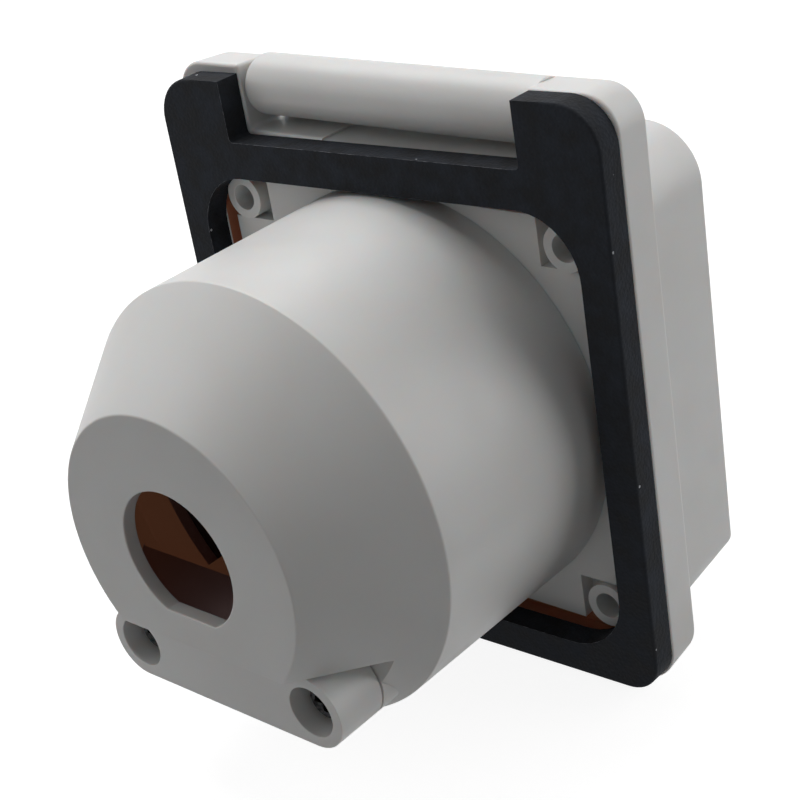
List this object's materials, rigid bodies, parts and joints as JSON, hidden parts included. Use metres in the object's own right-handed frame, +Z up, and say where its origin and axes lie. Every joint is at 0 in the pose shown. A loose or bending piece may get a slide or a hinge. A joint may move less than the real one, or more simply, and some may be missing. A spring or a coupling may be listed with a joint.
{
  "type": "shore power inlet",
  "caption": "Square-flange shore power inlet with a panel gasket, a hinged weather lid on a barrel hinge, recessed blade contacts and a tapered rear cover with a D-shaped cable hole.",
  "frame": {"origin": "midway between the four panel screw holes, on the flange's rear face and the rear cover's axis", "axes": "+Y points to the back, along the rear cover, +Z up to the hinge; the lid faces -Y"},
  "size_m": [0.1146, 0.1053, 0.1273],
  "materials": {
    "white_plastic": "moulded, fine satin grain",
    "gasket_foam": "closed-cell foam with cut edges",
    "black_plastic": "moulded, satin",
    "seal_rubber": "soft, matt",
    "brass": "machined",
    "steel": "plain, bright"
  },
  "bodies": {
    "inlet": {"base_flange": "white_plastic", "panel_gasket": "gasket_foam", "rear_cover": "white_plastic", "screw_bar": "white_plastic", "cover_screws": "steel", "cover_inserts": "brass", "hinge_pin": "steel", "contact_carrier": "black_plastic", "carrier_seal": "seal_rubber", "terminal_block": "black_plastic", "carrier_screws": "steel", "blade_line_1": "brass", "blade_line_2": "brass", "blade_neutral": "brass", "blade_ground": "brass", "terminal_screws": "steel", "pressure_plates": "steel"},
    "lid": {"lid": "white_plastic", "lid_seal": "seal_rubber"}
  },
  "joints": [
    {"name": "lid_hinge", "type": "hinge", "parent": "inlet", "child": "lid", "pos_m": [0, -0.0059, 0.0641], "axis": [-1, 0, 0], "range_deg": [0, 120]}
  ]
}
